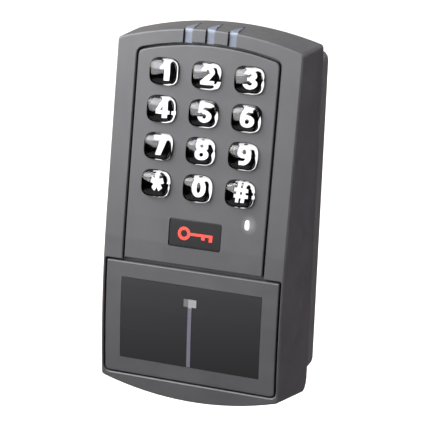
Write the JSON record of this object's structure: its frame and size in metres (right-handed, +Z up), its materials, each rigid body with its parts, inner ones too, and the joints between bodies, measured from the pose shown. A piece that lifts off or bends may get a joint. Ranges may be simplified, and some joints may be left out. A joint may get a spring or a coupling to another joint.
{
  "type": "keypad access reader",
  "caption": "Wall-mounted access card reader with a telephone-style keypad, three light pipes over its top edge and a card-reading area below, on a hinged wall plate.",
  "frame": {"origin": "centre of the wall plate's back face", "axes": "+Z up along the reader's height, +Y into the wall, -Y out of the wall, +X to the right as seen from the front"},
  "size_m": [0.0698, 0.0394, 0.1349],
  "materials": {
    "housing_plastic": "fine textured dark grey ABS/PC",
    "panel_plastic": "satin dark grey",
    "cover_plastic": "fine textured dark grey",
    "base_plastic": "fine textured dark grey",
    "label_film": "dark film with a satin surface",
    "mark_ink": "light grey print",
    "badge_plastic": null,
    "pipe_acrylic": "frosted translucent light pipe",
    "lens_acrylic": "clear lens over a white lamp",
    "key_acrylic": "clear glossy moulded acrylic dome",
    "key_black": "glossy black with a white printed sign",
    "mat_silicone": "matt silicone",
    "board_green": "solder mask",
    "chip_black": "moulded epoxy",
    "relay_plastic": "blue case",
    "terminal_plastic": "green terminal housing",
    "led_epoxy": "white package",
    "former_plastic": "natural moulded plastic",
    "gasket_foam": "closed-cell foam",
    "screw_steel": "zinc plated",
    "coil_copper": "enamelled copper wire"
  },
  "bodies": {
    "base": {"base_plate": "base_plastic", "wall_gasket": "gasket_foam"},
    "housing": {"front_housing": "housing_plastic", "keypad_panel": "panel_plastic", "lower_cover": "cover_plastic", "reader_label": "label_film", "target_mark": "mark_ink", "badge_plate": "badge_plastic", "status_lens": "lens_acrylic", "light_pipe_1": "pipe_acrylic", "light_pipe_2": "pipe_acrylic", "light_pipe_3": "pipe_acrylic", "keypad_mat": "mat_silicone", "keypad_pcb": "board_green", "keypad_screw_1": "screw_steel", "keypad_screw_2": "screw_steel", "keypad_screw_3": "screw_steel", "keypad_screw_4": "screw_steel", "main_pcb": "board_green", "board_screw_1": "screw_steel", "board_screw_2": "screw_steel", "board_screw_3": "screw_steel", "board_screw_4": "screw_steel", "led_1": "led_epoxy", "led_2": "led_epoxy", "led_3": "led_epoxy", "microcontroller": "chip_black", "relay": "relay_plastic", "buzzer": "chip_black", "board_connector": "chip_black", "terminal_block": "terminal_plastic", "tamper_sensor": "chip_black", "antenna_coil": "coil_copper", "antenna_former": "former_plastic", "security_screw": "screw_steel", "security_nut": "screw_steel"},
    "key_1": {"key_cap_1": "key_acrylic", "key_carrier_1": "key_black"},
    "key_2": {"key_cap_2": "key_acrylic", "key_carrier_2": "key_black"},
    "key_3": {"key_cap_3": "key_acrylic", "key_carrier_3": "key_black"},
    "key_4": {"key_cap_4": "key_acrylic", "key_carrier_4": "key_black"},
    "key_5": {"key_cap_5": "key_acrylic", "key_carrier_5": "key_black"},
    "key_6": {"key_cap_6": "key_acrylic", "key_carrier_6": "key_black"},
    "key_7": {"key_cap_7": "key_acrylic", "key_carrier_7": "key_black"},
    "key_8": {"key_cap_8": "key_acrylic", "key_carrier_8": "key_black"},
    "key_9": {"key_cap_9": "key_acrylic", "key_carrier_9": "key_black"},
    "key_star": {"key_cap_star": "key_acrylic", "key_carrier_star": "key_black"},
    "key_0": {"key_cap_0": "key_acrylic", "key_carrier_0": "key_black"},
    "key_hash": {"key_cap_hash": "key_acrylic", "key_carrier_hash": "key_black"}
  },
  "joints": [
    {"name": "housing_hinge", "type": "hinge", "parent": "base", "child": "housing", "pos_m": [0, -0.0077, 0.0593], "axis": [-1, 0, 0], "range_deg": [0, 35]},
    {"name": "press_1", "type": "slide", "parent": "housing", "child": "key_1", "axis": [0, 0.9898, -0.1426], "range_m": [0, 0.0009], "stiffness_N_per_m": 1500, "deforming": ["keypad_mat"]},
    {"name": "press_2", "type": "slide", "parent": "housing", "child": "key_2", "axis": [0, 0.9898, -0.1426], "range_m": [0, 0.0009], "stiffness_N_per_m": 1500, "deforming": ["keypad_mat"]},
    {"name": "press_3", "type": "slide", "parent": "housing", "child": "key_3", "axis": [0, 0.9898, -0.1426], "range_m": [0, 0.0009], "stiffness_N_per_m": 1500, "deforming": ["keypad_mat"]},
    {"name": "press_4", "type": "slide", "parent": "housing", "child": "key_4", "axis": [0, 0.9898, -0.1426], "range_m": [0, 0.0009], "stiffness_N_per_m": 1500, "deforming": ["keypad_mat"]},
    {"name": "press_5", "type": "slide", "parent": "housing", "child": "key_5", "axis": [0, 0.9898, -0.1426], "range_m": [0, 0.0009], "stiffness_N_per_m": 1500, "deforming": ["keypad_mat"]},
    {"name": "press_6", "type": "slide", "parent": "housing", "child": "key_6", "axis": [0, 0.9898, -0.1426], "range_m": [0, 0.0009], "stiffness_N_per_m": 1500, "deforming": ["keypad_mat"]},
    {"name": "press_7", "type": "slide", "parent": "housing", "child": "key_7", "axis": [0, 0.9898, -0.1426], "range_m": [0, 0.0009], "stiffness_N_per_m": 1500, "deforming": ["keypad_mat"]},
    {"name": "press_8", "type": "slide", "parent": "housing", "child": "key_8", "axis": [0, 0.9898, -0.1426], "range_m": [0, 0.0009], "stiffness_N_per_m": 1500, "deforming": ["keypad_mat"]},
    {"name": "press_9", "type": "slide", "parent": "housing", "child": "key_9", "axis": [0, 0.9898, -0.1426], "range_m": [0, 0.0009], "stiffness_N_per_m": 1500, "deforming": ["keypad_mat"]},
    {"name": "press_star", "type": "slide", "parent": "housing", "child": "key_star", "axis": [0, 0.9898, -0.1426], "range_m": [0, 0.0009], "stiffness_N_per_m": 1500, "deforming": ["keypad_mat"]},
    {"name": "press_0", "type": "slide", "parent": "housing", "child": "key_0", "axis": [0, 0.9898, -0.1426], "range_m": [0, 0.0009], "stiffness_N_per_m": 1500, "deforming": ["keypad_mat"]},
    {"name": "press_hash", "type": "slide", "parent": "housing", "child": "key_hash", "axis": [0, 0.9898, -0.1426], "range_m": [0, 0.0009], "stiffness_N_per_m": 1500, "deforming": ["keypad_mat"]}
  ]
}
